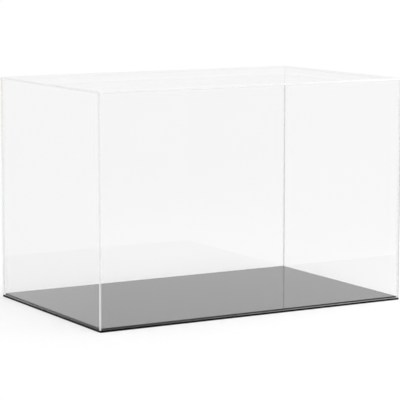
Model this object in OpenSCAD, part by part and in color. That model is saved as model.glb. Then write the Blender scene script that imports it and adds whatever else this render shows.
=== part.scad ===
// Display case for a football: a clear five-sheet cover that lifts off a black two-plate base.
// Origin at the middle of the underside. +X is to the right, +Y to the back and +Z up.

/* [Case] */
// Outside width of the case, left to right
case_w = 360; // [240:5:600]
// Outside depth of the case, front to back
case_d = 230; // [150:2:400]
// Height of the closed case, from its underside to the top of its cover
case_h = 238; // [120:2:500]

/* [Cover] */
// Thickness of the four wall sheets
wall_t = 1.9; // [1.5:0.1:5]
// Thickness of the top sheet
top_t = 1.9; // [1.5:0.1:6]

/* [Base] */
// Thickness of the bottom plate, which the cover stands on
base_t = 1.9; // [1.5:0.1:10]
// Thickness of the raised plate, which keeps the cover in place
raised_t = 1.9; // [1.5:0.1:10]
// Gap between the raised plate's edge and the wall sheets, all round
cover_clearance = 0.2; // [0.1:0.05:1]

/* [Edges] */
// Width of the bevel that breaks each polished edge
arris = 0.2; // [0.05:0.05:0.3]

/* [Hidden] */

CLEAR_ACRYLIC = [0.90, 0.94, 0.95, 0.30];
BLACK_ACRYLIC = [0.03, 0.03, 0.035];

// The walls stand on the bottom plate and carry the top sheet
wall_z = base_t;
wall_h = case_h - base_t - top_t;
// The side walls fit between the front and back walls
side_l = case_d - 2 * wall_t;
// The raised plate fills the inside of the walls, less its clearance
raised_w = case_w - 2 * (wall_t + cover_clearance);
raised_d = case_d - 2 * (wall_t + cover_clearance);

// A rectangle centred on the origin, with its corners cut at 45 degrees
module broken_rect(a, b, cut) {
    polygon([
        [-a / 2 + cut, -b / 2],
        [a / 2 - cut, -b / 2],
        [a / 2, -b / 2 + cut],
        [a / 2, b / 2 - cut],
        [a / 2 - cut, b / 2],
        [-a / 2 + cut, b / 2],
        [-a / 2, b / 2 - cut],
        [-a / 2, -b / 2 + cut]
    ]);
}

// A sheet standing on z = 0 and centred in X and Y, with all twelve of its edges broken
module sheet(w, d, h) {
    translate([0, 0, h / 2])
        intersection() {
            linear_extrude(height = h, center = true)
                broken_rect(w, d, arris);
            rotate([90, 0, 0])
                linear_extrude(height = d, center = true)
                    broken_rect(w, h, arris);
            rotate([90, 0, 90])
                linear_extrude(height = w, center = true)
                    broken_rect(d, h, arris);
        }
}

module base_plate() {
    color(BLACK_ACRYLIC)
        sheet(case_w, case_d, base_t);
}

module raised_plate() {
    color(BLACK_ACRYLIC)
        translate([0, 0, base_t])
            sheet(raised_w, raised_d, raised_t);
}

// A full-width wall sheet: side is -1 for the front and 1 for the back
module long_wall(side) {
    color(CLEAR_ACRYLIC)
        translate([0, side * (case_d - wall_t) / 2, wall_z])
            sheet(case_w, wall_t, wall_h);
}

// A wall sheet between the front and the back: side is -1 for the left and 1 for the right
module side_wall(side) {
    color(CLEAR_ACRYLIC)
        translate([side * (case_w - wall_t) / 2, 0, wall_z])
            sheet(wall_t, side_l, wall_h);
}

module front_panel() {
    long_wall(-1);
}

module back_panel() {
    long_wall(1);
}

module left_panel() {
    side_wall(-1);
}

module right_panel() {
    side_wall(1);
}

module top_panel() {
    color(CLEAR_ACRYLIC)
        translate([0, 0, wall_z + wall_h])
            sheet(case_w, case_d, top_t);
}

base_plate();
raised_plate();
front_panel();
back_panel();
left_panel();
right_panel();
top_panel();
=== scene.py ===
"""Looks of a lift-off acrylic display case: five clear sheets over a black two-plate base."""

import logging
import math
from dataclasses import dataclass
from enum import Enum
from typing import Any, ClassVar, Mapping, Sequence

import bmesh
import bpy
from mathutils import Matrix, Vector


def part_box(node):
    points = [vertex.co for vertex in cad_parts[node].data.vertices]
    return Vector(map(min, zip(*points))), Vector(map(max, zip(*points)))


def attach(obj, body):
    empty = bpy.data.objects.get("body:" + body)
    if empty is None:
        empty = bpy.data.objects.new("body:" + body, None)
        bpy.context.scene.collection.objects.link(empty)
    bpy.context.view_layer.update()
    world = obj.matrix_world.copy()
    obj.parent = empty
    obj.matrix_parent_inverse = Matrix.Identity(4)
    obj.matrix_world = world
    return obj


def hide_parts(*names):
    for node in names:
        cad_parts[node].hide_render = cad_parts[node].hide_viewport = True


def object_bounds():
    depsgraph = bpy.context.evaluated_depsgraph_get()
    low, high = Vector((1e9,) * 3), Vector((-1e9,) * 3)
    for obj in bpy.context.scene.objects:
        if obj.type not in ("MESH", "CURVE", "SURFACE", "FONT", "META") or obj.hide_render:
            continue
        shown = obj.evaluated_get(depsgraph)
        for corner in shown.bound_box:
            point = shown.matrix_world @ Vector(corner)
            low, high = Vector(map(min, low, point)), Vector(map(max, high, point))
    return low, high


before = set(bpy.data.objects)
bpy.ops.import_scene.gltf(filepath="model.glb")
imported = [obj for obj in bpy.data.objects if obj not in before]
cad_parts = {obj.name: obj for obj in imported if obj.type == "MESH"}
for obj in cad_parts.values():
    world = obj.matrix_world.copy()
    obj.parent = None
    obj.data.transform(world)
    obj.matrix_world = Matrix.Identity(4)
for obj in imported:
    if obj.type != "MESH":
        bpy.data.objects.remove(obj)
CAD_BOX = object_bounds()
CASE_MIDDLE = (Vector(CAD_BOX[0]) + Vector(CAD_BOX[1])) / 2

LOG = logging.getLogger("display_case")
MM = 0.001
AXES = range(3)
ACRYLIC_IOR = 1.49
# Two faces nearer than this are taken as one
TOUCH = 0.01 * MM
# A face whose normal leans less than this across its sheet is part of the rim
RIM_LEAN = 0.5
# Edges that turn further than this are sharp to the hand
SHARP_ANGLE = math.radians(80)
# How steeply a pane's mirroring grows as the view becomes glancing
GLANCE_POWER = 5.0
# The blend at which Layer Weight gives one less the cosine of the view
EVEN_BLEND = 0.5

Colour = tuple[float, float, float]
Triple = tuple[float, float, float]
Span = tuple[float, float]
Socket = bpy.types.NodeSocket
Value = float | Socket


def grey(level: float) -> tuple[float, float, float, float]:
    """An opaque grey of a linear level."""
    return (level, level, level, 1.0)


def around(middle: float, spread: float) -> Span:
    """The span from spread below a middle value to spread above it."""
    return (middle - spread, middle + spread)


class Grain(Enum):
    """How many octaves of finer noise a pattern has."""

    PLAIN = 0.0
    SOFT = 1.0
    MIXED = 2.0
    FINE = 3.0


class NodeBench:
    """A material or world node tree under construction."""

    def __init__(self, tree: bpy.types.NodeTree) -> None:
        """Starts from an empty tree."""
        self.tree = tree
        tree.nodes.clear()

    def add(
        self, kind: str, inputs: Mapping[Any, Any] | None = None, **settings: Any
    ) -> bpy.types.Node:
        """Adds a node and fills it in.

        Args:
            kind: The node's type name, such as "ShaderNodeTexNoise".
            inputs: Values or output sockets for its inputs, by name or index.
            **settings: The node's own properties.

        Returns:
            The new node.
        """
        node = self.tree.nodes.new(kind)
        for name, value in settings.items():
            setattr(node, name, value)
        for name, value in (inputs or {}).items():
            if isinstance(value, bpy.types.NodeSocket):
                self.tree.links.new(value, node.inputs[name])
            else:
                node.inputs[name].default_value = value
        return node

    def maths(self, operation: str, *values: Value, clamp: bool = False) -> Socket:
        """Does one step of arithmetic.

        Args:
            operation: What to do, such as "ADD".
            *values: The numbers or sockets to do it to, in order.
            clamp: Whether the result is held between 0 and 1.

        Returns:
            The result.
        """
        return self.add(
            "ShaderNodeMath", dict(enumerate(values)), operation=operation, use_clamp=clamp
        ).outputs[0]

    def ramp(self, value: Value, reach: Span, levels: Span) -> Socket:
        """Carries a value smoothly from one level to another.

        Args:
            value: What is carried over.
            reach: Where the change starts and ends.
            levels: The result before the change and after it.

        Returns:
            The result.
        """
        return self.add(
            "ShaderNodeMapRange",
            {
                "Value": value,
                "From Min": reach[0],
                "From Max": reach[1],
                "To Min": levels[0],
                "To Max": levels[1],
            },
            interpolation_type="SMOOTHSTEP",
        ).outputs["Result"]

    def blend(self, share: Value, without: Value, with_all: Value) -> Socket:
        """Mixes two numbers.

        Args:
            share: How much of the second is taken, from 0 to 1.
            without: The number at a share of 0.
            with_all: The number at a share of 1.

        Returns:
            The mixed number.
        """
        return self.add(
            "ShaderNodeMix",
            {"Factor": share, "A": without, "B": with_all},
            data_type="FLOAT",
        ).outputs["Result"]

    def place(self) -> Socket:
        """The piece's own coordinates, in metres."""
        return self.add("ShaderNodeTexCoord").outputs["Object"]

    def noise(self, per_m: float | Sequence[float], grain: Grain = Grain.MIXED) -> Socket:
        """Noise over the piece's own coordinates.

        Args:
            per_m: Cycles per metre, for all directions or along X, Y and Z.
            grain: How much finer noise it has.

        Returns:
            The noise's level, around a half.
        """
        scale = (per_m, per_m, per_m) if isinstance(per_m, float) else tuple(per_m)
        mapped = self.add("ShaderNodeMapping", {"Vector": self.place(), "Scale": scale})
        return self.add(
            "ShaderNodeTexNoise",
            {"Vector": mapped.outputs[0], "Scale": 1.0, "Detail": grain.value},
        ).outputs["Fac"]

    def bump(self, height: Socket, distance: float, strength: float = 1.0) -> Socket:
        """Raises a surface a little.

        Args:
            height: Where it is raised, from 0 to 1.
            distance: How far it is raised, in metres.
            strength: How strongly the relief shows.

        Returns:
            The relief's normal.
        """
        return self.add(
            "ShaderNodeBump", {"Height": height, "Distance": distance, "Strength": strength}
        ).outputs["Normal"]

    def finish(self, shader: bpy.types.Node) -> None:
        """Makes a shader the material's surface."""
        self.add("ShaderNodeOutputMaterial", {"Surface": shader.outputs[0]})

    def finish_over_clear(
        self, shader: bpy.types.Node, share: Socket, clear: tuple[float, float, float, float]
    ) -> None:
        """Makes a surface that passes light straight through where a shader doesn't cover it.

        Args:
            shader: The shader that covers part of the surface.
            share: The part that it covers.
            clear: Colour of what passes through the rest.
        """
        through = self.add("ShaderNodeBsdfTransparent", {"Color": clear})
        mixed = self.add(
            "ShaderNodeMixShader", {0: share, 1: through.outputs[0], 2: shader.outputs[0]}
        )
        self.finish(mixed)


def new_material(name: str) -> tuple[bpy.types.Material, NodeBench]:
    """Makes an empty material.

    Args:
        name: The material's name.

    Returns:
        The material and its node bench.
    """
    material = bpy.data.materials.new(name)
    material.use_nodes = True
    return material, NodeBench(material.node_tree)


def link_object(
    name: str, mesh: bmesh.types.BMesh, coats: Sequence[bpy.types.Material]
) -> bpy.types.Object:
    """Turns a finished mesh into an object at the origin.

    Args:
        name: The object's name.
        mesh: Its shape, which is used up.
        coats: Its materials, in slot order.

    Returns:
        The object, in the scene.
    """
    data = bpy.data.meshes.new(name)
    for coat in coats:
        data.materials.append(coat)
    mesh.to_mesh(data)
    mesh.free()
    made = bpy.data.objects.new(name, data)
    bpy.context.scene.collection.objects.link(made)
    return made


def pane_mirror(bench: NodeBench, normal: Socket) -> Socket:
    """Share of light that one face of a pane mirrors, the same from either side.

    Args:
        bench: The material's nodes.
        normal: The face's rippled normal.

    Returns:
        The share.
    """
    head_on = ((ACRYLIC_IOR - 1.0) / (ACRYLIC_IOR + 1.0)) ** 2
    facing = bench.add("ShaderNodeLayerWeight", {"Blend": EVEN_BLEND, "Normal": normal})
    glancing = bench.maths("POWER", facing.outputs["Facing"], GLANCE_POWER)
    return bench.maths("ADD", bench.maths("MULTIPLY", glancing, 1.0 - head_on), head_on)


@dataclass(frozen=True)
class ClearFace:
    """Polished face of a clear sheet: faint ripple, rare hairlines and a few smudges."""

    name: str = "clear_polished_face"
    tint: Colour = (0.998, 0.998, 0.998)
    ripple_per_m: float = 14.0
    ripple_height: float = 0.03 * MM
    hairline_across_per_m: float = 900.0
    hairline_along_per_m: float = 14.0
    hairline_reach: Span = (0.74, 0.80)
    hairline_roughness: float = 0.08
    smudge_per_m: float = 28.0
    smudge_reach: Span = (0.62, 0.80)
    smudge_roughness: float = 0.04

    def marks(self, bench: NodeBench) -> Socket:
        """Roughness of the hairlines and smudges.

        Args:
            bench: The material's nodes.

        Returns:
            The roughness.
        """
        across, along = self.hairline_across_per_m, self.hairline_along_per_m
        upright = bench.noise((across, across, along), Grain.SOFT)
        level = bench.noise((along, across, across), Grain.SOFT)
        lines = bench.maths("MAXIMUM", upright, level)
        hairline = bench.ramp(lines, self.hairline_reach, (0.0, self.hairline_roughness))
        patches = bench.noise(self.smudge_per_m, Grain.FINE)
        smudge = bench.ramp(patches, self.smudge_reach, (0.0, self.smudge_roughness))
        return bench.maths("ADD", hairline, smudge)

    def material(self) -> bpy.types.Material:
        """Builds the finish.

        Returns:
            The material.
        """
        material, bench = new_material(self.name)
        relief = bench.bump(bench.noise(self.ripple_per_m, Grain.SOFT), self.ripple_height)
        mirror = bench.add(
            "ShaderNodeBsdfGlossy",
            {"Color": grey(1.0), "Roughness": self.marks(bench), "Normal": relief},
        )
        bench.finish_over_clear(mirror, pane_mirror(bench, relief), (*self.tint, 1.0))
        return material


@dataclass(frozen=True)
class ClearRim:
    """Sanded rim of a clear sheet: milky, with the fine strokes that the cutter leaves.

    The foot of the cover is painted light: it is nearly clear, so dark, at one corner and
    milkier, so lighter, further off, standing in for light piped along the walls from their far
    ends.
    """

    # Corner near which the foot is painted darker (less milky); further off it is painted lighter
    painted_dim_corner: Triple
    name: str = "clear_cut_rim"
    colour: Colour = (0.97, 0.97, 0.97)
    clear: float = 0.96
    milky: float = 0.90
    milky_spread: float = 0.06
    # Painted light: the foot's milky share, low at the dim corner and higher further off
    foot_painted_milky: Span = (0.08, 0.45)
    foot_reach: Span = (0.0, 0.34)
    foot_height: float = 1.0 * MM
    foot_lean: float = 0.3
    drift_per_m: float = 45.0
    drift_reach: Span = (0.3, 0.7)
    roughness: Span = (0.25, 0.45)
    stroke_per_m: float = 1600.0
    stroke_height: float = 0.01 * MM
    stroke_strength: float = 0.6

    def foot(self, bench: NodeBench) -> Socket:
        """Marks the underside of the cover's foot, which faces up or down and lies low.

        Args:
            bench: The material's nodes.

        Returns:
            1 on the foot and 0 elsewhere.
        """
        normal = bench.add("ShaderNodeTexCoord").outputs["Normal"]
        tilt = bench.add("ShaderNodeSeparateXYZ", {0: normal}).outputs["Z"]
        level = bench.maths("GREATER_THAN", bench.maths("ABSOLUTE", tilt), self.foot_lean)
        height = bench.add("ShaderNodeSeparateXYZ", {0: bench.place()}).outputs["Z"]
        low = bench.maths("LESS_THAN", height, self.painted_dim_corner[2] + self.foot_height)
        return bench.maths("MULTIPLY", level, low)

    def cover(self, bench: NodeBench, drift: Socket) -> Socket:
        """Share of the rim that is milky.

        Args:
            bench: The material's nodes.
            drift: Slow noise along the rim.

        Returns:
            The share.
        """
        # Painted light: the foot grows milkier, so lighter, with distance from the dim corner,
        # standing in for light piped along the walls
        away = bench.add(
            "ShaderNodeVectorMath",
            {0: bench.place(), 1: self.painted_dim_corner},
            operation="DISTANCE",
        ).outputs["Value"]
        foot = bench.ramp(away, self.foot_reach, self.foot_painted_milky)
        side = bench.ramp(drift, self.drift_reach, around(self.milky, self.milky_spread))
        return bench.blend(self.foot(bench), side, foot)

    def material(self) -> bpy.types.Material:
        """Builds the finish.

        Returns:
            The material.
        """
        material, bench = new_material(self.name)
        strokes = bench.noise(self.stroke_per_m)
        drift = bench.noise(self.drift_per_m)
        surface = bench.add(
            "ShaderNodeBsdfPrincipled",
            {
                "Base Color": (*self.colour, 1.0),
                "IOR": ACRYLIC_IOR,
                "Roughness": bench.ramp(drift, self.drift_reach, self.roughness),
                "Normal": bench.bump(strokes, self.stroke_height, self.stroke_strength),
            },
        )
        bench.finish_over_clear(surface, self.cover(bench, drift), grey(self.clear))
        return material


@dataclass(frozen=True)
class CementJoint:
    """Solvent-cemented face between two clear sheets: milky, with tiny bubbles."""

    name: str = "cement_joint"
    colour: Colour = (0.97, 0.97, 0.97)
    clear: float = 0.99
    milky: float = 0.30
    milky_spread: float = 0.05
    drift_per_m: float = 60.0
    drift_reach: Span = (0.3, 0.7)
    roughness: Span = (0.4, 0.6)
    bubble_per_m: float = 700.0
    bubble_reach: Span = (0.50, 0.72)
    bubble_size: float = 0.30
    bubble_milky: float = 0.3

    def cover(self, bench: NodeBench, drift: Socket) -> Socket:
        """Share of the joint that is milky, bubbles included.

        Args:
            bench: The material's nodes.
            drift: Slow noise along the joint.

        Returns:
            The share.
        """
        cells = bench.add(
            "ShaderNodeTexVoronoi", {"Vector": bench.place(), "Scale": self.bubble_per_m}
        )
        crowd = bench.ramp(drift, self.bubble_reach, (0.0, self.bubble_size))
        bubble = bench.maths("LESS_THAN", cells.outputs["Distance"], crowd)
        cloud = bench.ramp(drift, self.drift_reach, around(self.milky, self.milky_spread))
        bright = bench.maths("MULTIPLY", bubble, self.bubble_milky)
        return bench.maths("ADD", cloud, bright, clamp=True)

    def material(self) -> bpy.types.Material:
        """Builds the finish.

        Returns:
            The material.
        """
        material, bench = new_material(self.name)
        drift = bench.noise(self.drift_per_m)
        surface = bench.add(
            "ShaderNodeBsdfPrincipled",
            {
                "Base Color": (*self.colour, 1.0),
                "IOR": ACRYLIC_IOR,
                "Roughness": bench.ramp(drift, self.drift_reach, self.roughness),
            },
        )
        bench.finish_over_clear(surface, self.cover(bench, drift), grey(self.clear))
        return material


@dataclass(frozen=True)
class BlackFace:
    """Polished face of black acrylic: a deep mirror gloss with faint ripple, dust and hairlines."""

    name: str = "black_polished_face"
    colour: Colour = (0.004, 0.004, 0.0045)
    dust: Colour = (0.05, 0.05, 0.052)
    ripple_per_m: float = 11.0
    ripple_height: float = 0.02 * MM
    dust_per_m: float = 230.0
    dust_crowd_per_m: float = 260.0
    dust_reach: Span = (0.66, 0.86)
    dust_size: float = 0.06
    hairline_across_per_m: float = 1100.0
    hairline_along_per_m: float = 14.0
    hairline_reach: Span = (0.72, 0.8)
    hairline_roughness: float = 0.05
    haze_per_m: float = 22.0
    haze_reach: Span = (0.35, 0.75)
    haze_roughness: Span = (0.010, 0.035)

    def specks(self, bench: NodeBench) -> Socket:
        """Marks the specks of dust.

        Args:
            bench: The material's nodes.

        Returns:
            1 on a speck and 0 elsewhere.
        """
        cells = bench.add(
            "ShaderNodeTexVoronoi", {"Vector": bench.place(), "Scale": self.dust_per_m}
        )
        patches = bench.noise(self.dust_crowd_per_m, Grain.PLAIN)
        crowd = bench.ramp(patches, self.dust_reach, (0.0, self.dust_size))
        return bench.maths("LESS_THAN", cells.outputs["Distance"], crowd)

    def polish(self, bench: NodeBench) -> Socket:
        """Roughness of the haze and the hairlines.

        Args:
            bench: The material's nodes.

        Returns:
            The roughness.
        """
        across, along = self.hairline_across_per_m, self.hairline_along_per_m
        lines = bench.noise((along, across, across), Grain.SOFT)
        hairline = bench.ramp(lines, self.hairline_reach, (0.0, self.hairline_roughness))
        patches = bench.noise(self.haze_per_m, Grain.FINE)
        haze = bench.ramp(patches, self.haze_reach, self.haze_roughness)
        return bench.maths("ADD", hairline, haze)

    def material(self) -> bpy.types.Material:
        """Builds the finish.

        Returns:
            The material.
        """
        material, bench = new_material(self.name)
        ripple = bench.noise(self.ripple_per_m, Grain.SOFT)
        speck = self.specks(bench)
        colour = bench.add(
            "ShaderNodeMix",
            {"Factor": speck, "A": (*self.colour, 1.0), "B": (*self.dust, 1.0)},
            data_type="RGBA",
        ).outputs["Result"]
        shader = bench.add(
            "ShaderNodeBsdfPrincipled",
            {
                "Base Color": colour,
                "IOR": ACRYLIC_IOR,
                "Roughness": bench.maths("ADD", self.polish(bench), speck),
                "Normal": bench.bump(ripple, self.ripple_height),
            },
        )
        bench.finish(shader)
        return material


@dataclass(frozen=True)
class BlackRim:
    """Machined rim of black acrylic: satin, with fine upright cutter strokes."""

    name: str = "black_cut_rim"
    colour: Colour = (0.003, 0.003, 0.0032)
    specular: float = 0.05
    stroke_across_per_m: float = 1500.0
    stroke_along_per_m: float = 60.0
    stroke_height: float = 0.01 * MM
    stroke_strength: float = 0.5
    drift_per_m: float = 50.0
    drift_reach: Span = (0.3, 0.7)
    satin_roughness: Span = (0.16, 0.28)
    wear_per_m: float = 240.0
    wear_reach: Span = (0.6, 0.8)
    wear_roughness: float = 0.15

    def material(self) -> bpy.types.Material:
        """Builds the finish.

        Returns:
            The material.
        """
        material, bench = new_material(self.name)
        across, along = self.stroke_across_per_m, self.stroke_along_per_m
        strokes = bench.noise((across, across, along))
        drift = bench.noise(self.drift_per_m)
        satin = bench.ramp(drift, self.drift_reach, self.satin_roughness)
        patches = bench.noise(self.wear_per_m, Grain.FINE)
        wear = bench.ramp(patches, self.wear_reach, (0.0, self.wear_roughness))
        shader = bench.add(
            "ShaderNodeBsdfPrincipled",
            {
                "Base Color": (*self.colour, 1.0),
                "Specular IOR Level": self.specular,
                "IOR": ACRYLIC_IOR,
                "Roughness": bench.maths("ADD", satin, wear),
                "Normal": bench.bump(strokes, self.stroke_height, self.stroke_strength),
            },
        )
        bench.finish(shader)
        return material


class Coat(Enum):
    """Which of a sheet's finishes a face takes, by its material slot."""

    FACE = 0
    RIM = 1
    JOINT = 2
    CREEP = 3


def within(point: Vector, boxes: Sequence[tuple[Vector, Vector]]) -> bool:
    """Tells whether a point is in or on one of some boxes.

    Args:
        point: The point.
        boxes: The lowest and highest corners of each box.

    Returns:
        True if it is.
    """
    return any(
        all(low[axis] - TOUCH <= point[axis] <= high[axis] + TOUCH for axis in AXES)
        for low, high in boxes
    )


@dataclass
class Sheet:
    """One flat sheet of acrylic with broken edges, at the place of its CAD node."""

    name: str
    node: str
    body: str
    slot: str
    coats: Sequence[bpy.types.Material]
    cemented_to: Sequence[str] = ()
    creep: float = 0.0
    seat_gap: float = 0.0
    arris: float = 0.25 * MM
    arris_steps: int = 2
    eased_height: float | None = None
    eased_arris: float = 0.30 * MM

    def extent(self) -> tuple[Vector, Vector]:
        """Lowest and highest corners, with the sliver of air that it stands on taken off."""
        low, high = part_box(self.node)
        return low + Vector((0, 0, self.seat_gap)), high

    def thin_axis(self) -> int:
        """Finds the axis across the sheet's thickness.

        Returns:
            0, 1 or 2 for X, Y or Z.
        """
        low, high = self.extent()
        size = high - low
        return min(AXES, key=lambda axis: size[axis])

    def neighbours(self) -> list[tuple[Vector, Vector]]:
        """Finds how far the cement of each neighbouring sheet has crept.

        Returns:
            The lowest and highest corners of each neighbour with its cement.
        """
        reach = Vector((self.creep, self.creep, self.creep))
        boxes = [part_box(node) for node in self.cemented_to]
        return [(low - reach, high + reach) for low, high in boxes]

    def cut_at_neighbours(self, mesh: bmesh.types.BMesh) -> None:
        """Splits the faces along each cemented sheet and along the cement that has crept out.

        Args:
            mesh: The sheet's mesh.
        """
        low, high = self.extent()
        outlines = [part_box(node) for node in self.cemented_to] + self.neighbours()
        cuts = [(corner, axis) for outline in outlines for corner in outline for axis in AXES]
        for corner, axis in cuts:
            if not low[axis] + TOUCH < corner[axis] < high[axis] - TOUCH:
                continue
            bmesh.ops.bisect_plane(
                mesh,
                geom=mesh.verts[:] + mesh.edges[:] + mesh.faces[:],
                dist=TOUCH,
                plane_co=corner,
                plane_no=Vector([float(axis == each) for each in AXES]),
            )

    def is_cemented(self, face: bmesh.types.BMFace) -> bool:
        """True if the face lies against a sheet that is cemented to this one."""
        return within(face.calc_center_median(), [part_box(node) for node in self.cemented_to])

    def is_crept_over(self, face: bmesh.types.BMFace) -> bool:
        """Tells whether cement has crept over a face from a joint.

        Args:
            face: A face of the sheet.

        Returns:
            True if it has, which is only so inside the case.
        """
        centre = face.calc_center_median()
        inward = face.normal.dot(CASE_MIDDLE - centre) > 0.0
        return inward and within(centre, self.neighbours())

    def coat_of(self, face: bmesh.types.BMFace) -> Coat:
        """Chooses a face's finish.

        Args:
            face: A face of the sheet.

        Returns:
            The finish.
        """
        if self.is_cemented(face):
            return Coat.JOINT
        if abs(face.normal[self.thin_axis()]) < RIM_LEAN:
            return Coat.RIM
        if self.creep and self.is_crept_over(face):
            return Coat.CREEP
        return Coat.FACE

    def is_eased(self, edge: bmesh.types.BMEdge) -> bool:
        """Tells whether an edge is one of those that are broken wider.

        Args:
            edge: An edge of the sheet.

        Returns:
            True if it lies at the eased height.
        """
        if self.eased_height is None:
            return False
        return all(abs(vert.co.z - self.eased_height) < TOUCH for vert in edge.verts)

    def bevel(self, mesh: bmesh.types.BMesh, edges: list[bmesh.types.BMEdge], size: float) -> None:
        """Breaks some edges, and finishes the new faces as rims.

        Args:
            mesh: The sheet's mesh.
            edges: The edges to break.
            size: How far the bevel reaches into the faces on each side.
        """
        made = bmesh.ops.bevel(
            mesh,
            geom=edges,
            offset=size,
            offset_type="OFFSET",
            segments=self.arris_steps,
            profile=0.5,
            affect="EDGES",
            material=-1,
        )
        for face in made["faces"]:
            if face.material_index == Coat.FACE.value:
                face.material_index = Coat.RIM.value

    def sharp_edges(self, mesh: bmesh.types.BMesh) -> list[bmesh.types.BMEdge]:
        """Finds the square edges that aren't part of a cemented seam.

        Args:
            mesh: The sheet's mesh.

        Returns:
            The edges.
        """
        glued = (Coat.JOINT.value, Coat.CREEP.value)
        return [
            edge
            for edge in mesh.edges
            if edge.calc_face_angle(0.0) > SHARP_ANGLE
            and all(face.material_index not in glued for face in edge.link_faces)
        ]

    def break_edges(self, mesh: bmesh.types.BMesh) -> None:
        """Bevels the sharp edges, those at the eased height wider than the others.

        Args:
            mesh: The sheet's mesh.
        """
        eased = [edge for edge in self.sharp_edges(mesh) if self.is_eased(edge)]
        if eased:
            self.bevel(mesh, eased, self.eased_arris)
        self.bevel(mesh, self.sharp_edges(mesh), self.arris)

    def build(self) -> bpy.types.Object:
        """Models the sheet, dresses it and puts it in place of its CAD node.

        Returns:
            The finished piece.
        """
        low, high = self.extent()
        mesh = bmesh.new()
        bmesh.ops.create_cube(mesh, size=1.0)
        bmesh.ops.scale(mesh, vec=high - low, verts=mesh.verts)
        bmesh.ops.translate(mesh, vec=(low + high) / 2, verts=mesh.verts)
        self.cut_at_neighbours(mesh)
        mesh.normal_update()
        for face in mesh.faces:
            face.material_index = self.coat_of(face).value
        self.break_edges(mesh)
        piece = link_object(self.name, mesh, self.coats)
        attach(piece, self.body)
        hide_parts(self.node)
        return piece


@dataclass
class Base:
    """The black base: a bottom plate and the raised plate cemented on it."""

    face: BlackFace = BlackFace()
    rim: BlackRim = BlackRim()
    arris: float = 0.12 * MM

    def plate(self, name: str, node: str, coats: Sequence[bpy.types.Material]) -> Sheet:
        """One plate of the base, before it is built."""
        return Sheet(name, node, "base", "black_acrylic", coats, arris=self.arris)

    def build(self) -> list[bpy.types.Object]:
        """Builds both plates.

        Returns:
            The bottom plate and the raised one.
        """
        coats = [self.face.material(), self.rim.material()]
        bottom = self.plate("bottom_plate", "base_plate", coats)
        bottom.eased_height = bottom.extent()[1].z
        step = self.plate("step_plate", "raised_plate", coats)
        return [bottom.build(), step.build()]


@dataclass
class Cover:
    """The lift-off cover: four clear walls and the sheet on top of them."""

    face: ClearFace = ClearFace()
    joint: CementJoint = CementJoint()
    crept: CementJoint = CementJoint("crept_cement", milky=0.32)
    creep: float = 0.5 * MM
    seat_gap: float = 0.05 * MM

    MEETS: ClassVar[Mapping[str, Sequence[str]]] = {
        "front": ("left", "right", "top"),
        "back": ("left", "right", "top"),
        "left": ("front", "back", "top"),
        "right": ("front", "back", "top"),
        "top": ("front", "back", "left", "right"),
    }

    def build(self) -> list[bpy.types.Object]:
        """Builds the five sheets.

        Returns:
            The walls and then the top.
        """
        # The cover's foot is painted darker near this corner and lighter further off
        front_left_foot = tuple(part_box("front_panel")[0])
        coats = [
            self.face.material(),
            ClearRim(front_left_foot).material(),
            self.joint.material(),
            self.crept.material(),
        ]
        made = []
        for side, others in self.MEETS.items():
            sheet = Sheet(
                name=f"{side}_sheet",
                node=f"{side}_panel",
                body="cover",
                slot="clear_acrylic",
                coats=coats,
                cemented_to=[f"{other}_panel" for other in others],
                creep=self.creep,
            )
            if side != "top":
                sheet.seat_gap = self.seat_gap
                sheet.eased_height = sheet.extent()[0].z
            made.append(sheet.build())
        return made


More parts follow.
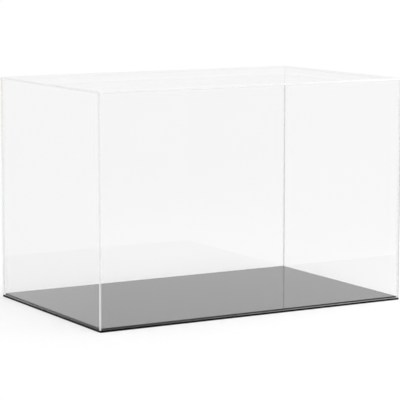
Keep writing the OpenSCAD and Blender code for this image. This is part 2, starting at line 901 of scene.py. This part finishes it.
@dataclass
class Studio:
    """Plain pale floor, soft light from above and one side, and a white surround.

    In reflections the surround and the floor are graded: brightest to the back right,
    darker to the front left, and a little paler close to the case. That is what draws the
    edges of clear and black acrylic.
    """

    floor_radius: float = 30.0
    floor_segments: int = 64
    floor_colour: float = 0.65
    floor_glow: float = 0.26
    surround: float = 0.585
    lean: Triple = (0.20, 0.31, 0.10)
    near: float = 1.0
    near_gain: float = 0.12
    ambient: float = 1.0
    white: float = 1.0
    key_strength: float = 0.55
    key_spread: float = 60.0
    key_tilt: Triple = (25.0, 20.0, 0.0)
    side_place: Triple = (0.42, -0.25, 0.26)
    side_power: float = 0.30
    side_size: float = 0.15
    clear_layers: int = 32

    def seen(self, bench: NodeBench) -> Socket:
        """Marks what the eye sees directly, through clear acrylic or in a reflection.

        Args:
            bench: The nodes to add to.

        Returns:
            1 for what is seen, and 0 for what only lights the case.
        """
        path = bench.add("ShaderNodeLightPath")
        bent = bench.maths(
            "MAXIMUM", path.outputs["Is Glossy Ray"], path.outputs["Is Transmission Ray"]
        )
        return bench.maths("MAXIMUM", path.outputs["Is Camera Ray"], bent)

    def bounced(self, bench: NodeBench) -> Socket:
        """1 for what is seen in a reflection."""
        path = bench.add("ShaderNodeLightPath")
        return bench.maths("MINIMUM", path.outputs["Glossy Depth"], 1.0)

    def mirrored(self, bench: NodeBench, way: Socket) -> Socket:
        """Brightness of the surround and the floor in reflections.

        Args:
            bench: The nodes to add to.
            way: The direction out from the case, or the place on the floor.

        Returns:
            The brightness, where 1 is white.
        """
        side = bench.add(
            "ShaderNodeVectorMath", {0: way, 1: self.lean}, operation="DOT_PRODUCT"
        ).outputs["Value"]
        away = bench.add("ShaderNodeVectorMath", {0: way}, operation="LENGTH").outputs["Value"]
        graded = bench.maths("DIVIDE", side, bench.maths("MAXIMUM", away, self.near))
        held = bench.maths("MINIMUM", away, self.near)
        close = bench.maths("SUBTRACT", self.near, held)
        raised = bench.maths("MULTIPLY_ADD", close, self.near_gain, graded)
        return bench.maths("ADD", raised, self.surround)

    def floor_material(self) -> bpy.types.Material:
        """White floor that keeps a faint shadow.

        Returns:
            The material.
        """
        material, bench = new_material("white_floor")
        place = bench.place()
        matt = bench.add("ShaderNodeBsdfDiffuse", {"Color": grey(self.floor_colour)})
        lift = bench.maths("MULTIPLY", self.seen(bench), self.floor_glow)
        glow = bench.add("ShaderNodeEmission", {"Color": grey(self.white), "Strength": lift})
        direct = bench.add("ShaderNodeAddShader", {0: matt.outputs[0], 1: glow.outputs[0]})
        image = bench.add(
            "ShaderNodeEmission",
            {"Color": grey(self.white), "Strength": self.mirrored(bench, place)},
        )
        either = bench.add(
            "ShaderNodeMixShader",
            {0: self.bounced(bench), 1: direct.outputs[0], 2: image.outputs[0]},
        )
        bench.finish(either)
        return material

    def build_floor(self) -> None:
        """Lays a round floor under the case."""
        mesh = bmesh.new()
        bmesh.ops.create_circle(
            mesh, cap_ends=True, radius=self.floor_radius, segments=self.floor_segments
        )
        link_object("floor", mesh, [self.floor_material()])

    def build_world(self) -> None:
        """Surrounds the case with white."""
        world = bpy.data.worlds.new("studio")
        world.use_nodes = True
        bpy.context.scene.world = world
        bench = NodeBench(world.node_tree)
        way = bench.add("ShaderNodeTexCoord").outputs["Generated"]
        shown = bench.blend(self.bounced(bench), self.white, self.mirrored(bench, way))
        strength = bench.blend(self.seen(bench), self.ambient, shown)
        background = bench.add(
            "ShaderNodeBackground", {"Color": grey(self.white), "Strength": strength}
        )
        bench.add("ShaderNodeOutputWorld", {"Surface": background.outputs[0]})

    def build_key_lamp(self) -> None:
        """Hangs a broad, soft key light above."""
        data = bpy.data.lights.new("key", "SUN")
        data.energy = self.key_strength
        data.angle = math.radians(self.key_spread)
        key = bpy.data.objects.new("key", data)
        key.rotation_euler = [math.radians(angle) for angle in self.key_tilt]
        key.visible_glossy = False
        bpy.context.scene.collection.objects.link(key)

    def build_side_lamp(self) -> None:
        """Stands a small soft box off the front right corner, turned to the case."""
        data = bpy.data.lights.new("side", "AREA")
        data.energy = self.side_power
        data.size = self.side_size
        side = bpy.data.objects.new("side", data)
        side.location = self.side_place
        side.rotation_euler = (CASE_MIDDLE - side.location).to_track_quat("-Z", "Y").to_euler()
        side.visible_camera = False
        side.visible_glossy = False
        side.visible_transmission = False
        bpy.context.scene.collection.objects.link(side)

    def build(self) -> None:
        """Sets up the floor, surround and lamps."""
        self.build_floor()
        self.build_world()
        self.build_key_lamp()
        self.build_side_lamp()
        bpy.context.scene.cycles.transparent_max_bounces = self.clear_layers


@dataclass
class Viewpoint:
    """Long-lens camera that looks down a little at the front left corner."""

    azimuth: float = -30.1
    elevation: float = 7.66
    distance: float = 2.129
    aim_height: float = 0.1066
    lens: float = 178.8
    sight: float = 200.0

    def build(self) -> bpy.types.Object:
        """Places the camera.

        Returns:
            The camera, set as the scene's own.
        """
        turn, lift = math.radians(self.azimuth), math.radians(self.elevation)
        back = Vector(
            (
                math.sin(turn) * math.cos(lift),
                -math.cos(turn) * math.cos(lift),
                math.sin(lift),
            )
        )
        data = bpy.data.cameras.new("camera")
        data.lens = self.lens
        data.clip_end = self.sight
        camera = bpy.data.objects.new("camera", data)
        camera.location = Vector((0.0, 0.0, self.aim_height)) + back * self.distance
        camera.rotation_euler = (-back).to_track_quat("-Z", "Y").to_euler()
        bpy.context.scene.collection.objects.link(camera)
        bpy.context.scene.camera = camera
        return camera


def main() -> None:
    """Builds the case, the studio and the camera in order."""
    logging.basicConfig(level=logging.INFO, format="%(message)s")
    bpy.context.scene.view_settings.view_transform = "Standard"
    Viewpoint().build()
    for piece in Base().build() + Cover().build():
        LOG.info("%s: %d faces", piece.name, len(piece.data.polygons))
    Studio().build()


if __name__ == "__main__":
    main()
